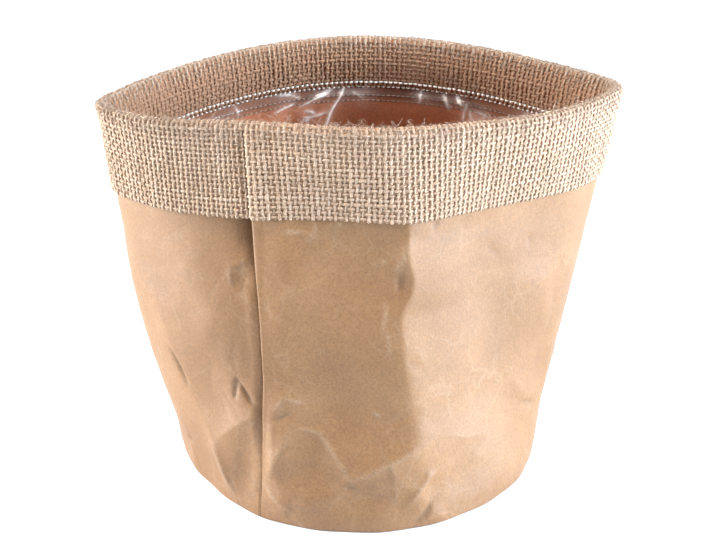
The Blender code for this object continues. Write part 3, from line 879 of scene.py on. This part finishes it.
# The seen pleats, and random ones where the film doesn't show
def linerPleats():
    random = np.random.default_rng(liner["seed"])
    pick = random.uniform
    lines = list(backPleats)
    left, right = liner["seen"]
    for k in range(liner["pleats"]):
        drops = (30, 170) if k > liner["highPleats"] else (26, 60)
        middle = np.array([pick(0, around / mm), pick(*drops)])
        line = bentLine(middle, random.normal(math.pi / 2, 0.6), pick(4, 22), pick(-0.3, 0.3))
        plain = left < middle[0] < right and middle[1] < liner["seenDrop"]
        depth = pick(0.3, 2.0) * (0.15 if plain else 1)
        width = pick(0.8, 2.4)
        lines.append((line, depth, width, 0.0 if plain else pick(0.0, 0.3), liner["streak"]))
    return lines


# Film: see-through with gloss, and a painted highlight in white along its pleats and in milky patches
def makeFilmMaterial():
    material, tree, shader = nodeMaterial("clearFilm", 0.25)
    shader.inputs["Base Color"].default_value = (0.97, 0.82, 0.69, 1)
    crinkle = addNoise(tree, objectCoords(tree), 160, 5, 0.7)
    normal = addBump(tree, crinkle, 0.35, 0.001)
    tree.links.new(normal, shader.inputs["Normal"])
    clear = addNode(tree, "BsdfTransparent", Color=(0.98, 0.97, 0.96)).outputs[0]
    gloss = addNode(tree, "BsdfGlossy", Roughness=0.16, Normal=normal).outputs[0]
    facing = addNode(tree, "LayerWeight", Blend=0.5, Normal=normal).outputs["Facing"]
    glancing = plus(tree, times(tree, addMath(tree, "POWER", facing, 3.0), 0.4), 0.03)
    glaze = addNode(tree, "MixShader", glancing, clear, gloss).outputs[0]
    # Painted highlight: the shine attribute mixes in a lit white film
    paintedHighlightAmount = times(tree, readAttribute(tree, "shine"), addRange(tree, crinkle, 0.35, 0.6, 0.55, 1.0))
    glazeAndPaintedHighlight = addNode(tree, "MixShader", times(tree, paintedHighlightAmount, 0.95), glaze, shader.outputs[0]).outputs[0]
    tree.links.new(glazeAndPaintedHighlight, tree.nodes["Material Output"].inputs["Surface"])
    return material


def makeLiner():
    arcs, arc = [], 0.0
    left, right = liner["seen"]
    while arc < around - 0.4 * mm:
        arcs.append(arc)
        arc += liner["backStep"] if left * mm < arc < right * mm else liner["frontStep"]
    start = bag["hemHeight"] - 6 * mm
    drops, drop = [], start
    while drop < liner["lowest"]:
        drops.append(drop)
        drop += liner["fineRow"] if drop < 50 * mm else liner["wideRow"]
    rows, floorRows = len(drops), liner["floorRows"]
    mesh, i, j = gridMesh("clearLiner", len(arcs), rows + floorRows, closed=True)
    arc = np.array(arcs)[i]
    turn = turnOf(arc)
    share = (np.array(drops + [drops[-1]] * floorRows)[j] - start) / (drops[-1] - start)
    drop = start + (rimLevel(turn) - start - 1.2 * mm) * share
    relief, shine = np.zeros(len(arc)), np.zeros(len(arc))
    px, py = arc / mm, drop / mm
    # The shine of pleats and milky patches is a painted highlight
    for line, depth, width, bright, streak in linerPleats():
        away, along = lineDistance(px, py, line)
        taper = np.sin(math.pi * np.clip(along * 0.9 + 0.08, 0, 1)) ** 0.5
        relief += depth * np.exp(-away / width) * taper
        shine += bright * (bell(away / streak) + 0.14 * bell(away / 2.6)) * taper
    for arcAt, dropAt, halfAcross, halfDown, amount in backHazeAndSheen:
        shine += amount * bell((px - arcAt) / halfAcross) * bell((py - dropAt) / halfDown)
    hem = bag["hemHeight"]
    loose = smooth(hem + 0.8 * mm, hem + 6 * mm, drop) * (1 - smooth(0.9, 1.0, share))
    points = place(turn, rimLevel(turn) - drop, linerInward(drop) + np.clip(relief, 0, 9) * mm * loose)
    centre = np.clip((j - rows + 1) / (floorRows + 0.3), 0, 1)
    points[:, :2] *= 1 - centre[:, None]
    setPoints(mesh, points)
    addAttribute(mesh, "shine", np.clip(shine, 0, 1) * smooth(hem + 0.3 * mm, hem + 1.5 * mm, drop))
    faceOut(mesh, hole=liner["hole"])
    made = addObject("clearLiner", mesh, makeFilmMaterial())
    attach(made, "root")
    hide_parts("clear_liner")
    print("liner", len(mesh.polygons) * 2, "triangles")


makeLiner()

# Stitching; drops are below the rim
sewing = dict(pitch=2.3 * mm, length=1.4 * mm, radius=0.46 * mm, seed=8, cuffThin=0.55,
              upperDrop=bag["hemHeight"] - 1.8 * mm, lowerDrop=bag["hemHeight"] + 0.9 * mm,
              cuffDrops=(29.9 * mm, 32.6 * mm), footHeight=3.6 * mm, sideArc=bag["seamArc"] + 3.5 * mm)
whiteThread = makeYarnMaterial("whiteThread", 900.0, 0.5,
                               (0.68, 0.57, 0.46), (0.80, 0.68, 0.56), (0.88, 0.77, 0.64))
paleThread = makeYarnMaterial("paleThread", 900.0, 0.6,
                              (0.36, 0.24, 0.15), (0.44, 0.31, 0.21), (0.52, 0.39, 0.28))
tanThread = makeYarnMaterial("tanThread", 900.0, 0.6,
                             (0.33, 0.22, 0.13), (0.45, 0.32, 0.2), (0.56, 0.42, 0.28))


# Where a row runs: its turn and height
def hemLine(drop):
    return lambda along, shift: (turnOf(along), rimLevel(turnOf(along)) - drop + shift)


def footLine(along, shift):
    return turnOf(along), sewing["footHeight"] + shift + 0 * along


def sideLine(along, shift):
    return turnOf(sewing["sideArc"] + shift + 0 * along), along


# Row of single stitches along a line: each one comes up, runs over the sheet and goes down
def stitchRow(name, node, start, end, line, inward, material, thin=1.0):
    random = np.random.default_rng(sewing["seed"] + len(name))
    count = int((end - start) / sewing["pitch"])
    threads = []
    for k in range(count):
        middle = start + (k + 0.5) * (end - start) / count + random.normal(0, 0.05 * mm)
        reach = sewing["length"] / 2 * random.uniform(0.92, 1.06) * (1.2 if thin < 1 else 1)
        along = middle + reach * np.array([-1, -0.72, 0, 0.72, 1])
        sink = sewing["radius"] * thin * np.array([1.6, 0.2, -0.5, 0.2, 1.6])
        points = place(*line(along, random.normal(0, 0.06 * mm)), inward - sink)
        thick = sewing["radius"] * thin * np.array([0.8, 1, 1, 1, 0.8])
        threads.append((points, thick, random.uniform(0.3, 1)))
    made = threadMesh(name, threads, material)
    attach(made, "root")
    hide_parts(node)


stitchRow("hemStitchUpper", "hem_stitch_upper", 0, around,
          hemLine(sewing["upperDrop"]), cloth["hemIn"] + 1.4 * mm, whiteThread)
stitchRow("hemStitchLower", "hem_stitch_lower", 1.1 * mm, around + 1.1 * mm,
          hemLine(sewing["lowerDrop"]), float(linerInward(sewing["lowerDrop"])) + 0.9 * mm, whiteThread)
left, right = bag["seamArc"] + 13 * mm, bag["seamArc"] + around - 3 * mm  # clear of the flaps of the seam
for row, drop in zip(("cuffSeamStitchUpper", "cuffSeamStitchLower"), sewing["cuffDrops"]):
    stitchRow(row, "cuff_seam_stitch", left, right,
              hemLine(drop), 1.0 * mm, paleThread, sewing["cuffThin"])
stitchRow("baseSeamStitch", "base_seam_stitch", 0, around,
          footLine, 3.6 * mm, tanThread)
stitchRow("sideSeamStitch", "side_seam_stitch", 15 * mm, 144 * mm,
          sideLine, 3.0 * mm, tanThread)
print("stitching done")

# Loose jute fibres that stand off the cloth, most of them along the rim, and longer tufts on the fold
hair = dict(count=5200, tufts=170, radius=0.055 * mm, seed=14)


def makeFibres():
    random = np.random.default_rng(hair["seed"])
    pick, threads = random.uniform, []
    for k in range(hair["count"]):
        arc = pick(0, around)
        run = outerRun + random.normal(2, 3) * mm if k % 3 else pick(0, clothRun)
        length = pick(1.2, 4.5) * mm * (1.6 if random.random() < 0.1 else 1)
        angle = pick(0, 2 * math.pi)
        curl = pick(-1.2, 1.2)
        rise = pick(0.3, 1.6) * mm
        s = np.linspace(0, 1, 4)
        turn = angle + curl * s
        dx = np.cumsum(np.cos(turn)) * length / 4
        dy = np.cumsum(np.sin(turn)) * length / 4
        lift = 0.6 * mm + rise * np.sin(s * pick(1.2, 3.0))
        points = cuffPoint(arc + dx, np.clip(run + dy, 0, clothRun), lift)
        thick = hair["radius"] * pick(0.6, 1.3) * np.array([1, 1, 0.8, 0.4])
        threads.append((points, thick, pick(0.6, 1.1)))
    for k in range(hair["tufts"]):
        arc = pick(0, around) if k % 2 else random.normal(-12, 26) * mm
        s = np.linspace(0, 1, 6)
        bend = random.normal(0, 2.2)
        length = pick(0.8, 2.2) ** 2 * mm
        lift = 0.5 * mm + length * np.sin(s * pick(1.3, 2.6)) * 0.8
        run = outerRun + foldRadius * (math.pi / 2 + random.normal(0, 0.5)) + s * pick(-1.5, 1.5) * mm
        points = cuffPoint(arc + length * 0.6 * np.sin(s * bend), run, lift)
        thick = hair["radius"] * pick(0.8, 1.3) * np.array([1, 1, 1, 0.9, 0.7, 0.4])
        threads.append((points, thick, pick(0.9, 1.5)))
    return threadMesh("looseFibres", threads, yarnSkin, sides=0)


fibres = makeFibres()
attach(fibres, "root")
print("fibres done")

# Floor and light: area lamps by place, size, beam in degrees, power and colour, all aimed at the bag
stage = dict(cells=8, cell=0.6, aim=(0, 0, 0.09), glow=0.07)
lamps = dict(key=((1.0, -0.405, 0.36), (0.6, 0.8), 180, 51, (0.82, 1.035, 1.30)),
             fill=((-1.1, 0.04, 0.42), (0.7, 0.9), 180, 50, (0.88, 1.015, 1.16)),
             mouth=((0.0, -0.15, 0.95), (0.08, 0.05), 16, 0.07, (1.1, 0.98, 0.91)),
             over=((0.0, 0.65, 1.5), (2.2, 1.4), 180, 15, (1.02, 0.97, 0.92)))


def makeStage():
    half = stage["cells"] // 2
    mesh, i, j = gridMesh("floor", stage["cells"] + 1, stage["cells"] + 1)
    setPoints(mesh, np.stack([(i - half) * stage["cell"], (j - half) * stage["cell"], 0 * i], axis=-1))
    faceOut(mesh)
    material, tree, shader = nodeMaterial("paleFloor", 0.9)
    noise = addNoise(tree, objectCoords(tree), 3, 2, 0.5)
    tone = addRamp(tree, noise, (0.0, (0.90, 0.90, 0.90)), (1.0, (0.94, 0.94, 0.94)))
    tree.links.new(tone, shader.inputs["Base Color"])
    floor = addObject("floor", mesh, material)
    scene.world = bpy.data.worlds.new("studio")
    scene.world.use_nodes = True
    background = scene.world.node_tree.nodes["Background"]
    background.inputs["Color"].default_value = (1, 0.98, 0.95, 1)
    background.inputs["Strength"].default_value = stage["glow"]
    scene.view_settings.view_transform = "Standard"
    for name, (spot, size, beam, power, colour) in lamps.items():
        data = bpy.data.lights.new(name, "AREA")
        data.shape = "RECTANGLE"
        data.size, data.size_y = size
        data.spread = math.radians(beam)
        data.energy = power
        data.color = colour
        lamp = bpy.data.objects.new(name, data)
        lamp.location = spot
        aim = np.array(stage["aim"]) - np.array(spot)
        turn = math.atan2(aim[1], aim[0]) - math.pi / 2
        lamp.rotation_euler = (math.acos(-aim[2] / np.linalg.norm(aim)), 0, turn)
        scene.collection.objects.link(lamp)


# Camera at the photograph's angle: focal length and frame in pixels, degrees and metres
view = dict(focal=1560.6, frame=716, sensor=36, tilt=24.83, azimuth=-6.38,
            away=0.6445, height=0.3853, aside=-0.0003)


def makeCamera():
    turn, tilt = math.radians(view["azimuth"]), math.radians(view["tilt"])
    data = bpy.data.cameras.new("camera")
    data.sensor_width = view["sensor"]
    data.lens = view["sensor"] * view["focal"] / view["frame"]
    camera = bpy.data.objects.new("camera", data)
    camera.location = (math.cos(turn) * view["aside"] + math.sin(turn) * view["away"],
                       math.sin(turn) * view["aside"] - math.cos(turn) * view["away"], view["height"])
    camera.rotation_euler = (math.pi / 2 - tilt, 0, turn)
    scene.collection.objects.link(camera)
    scene.camera = camera


makeStage()
makeCamera()
print("stage done")
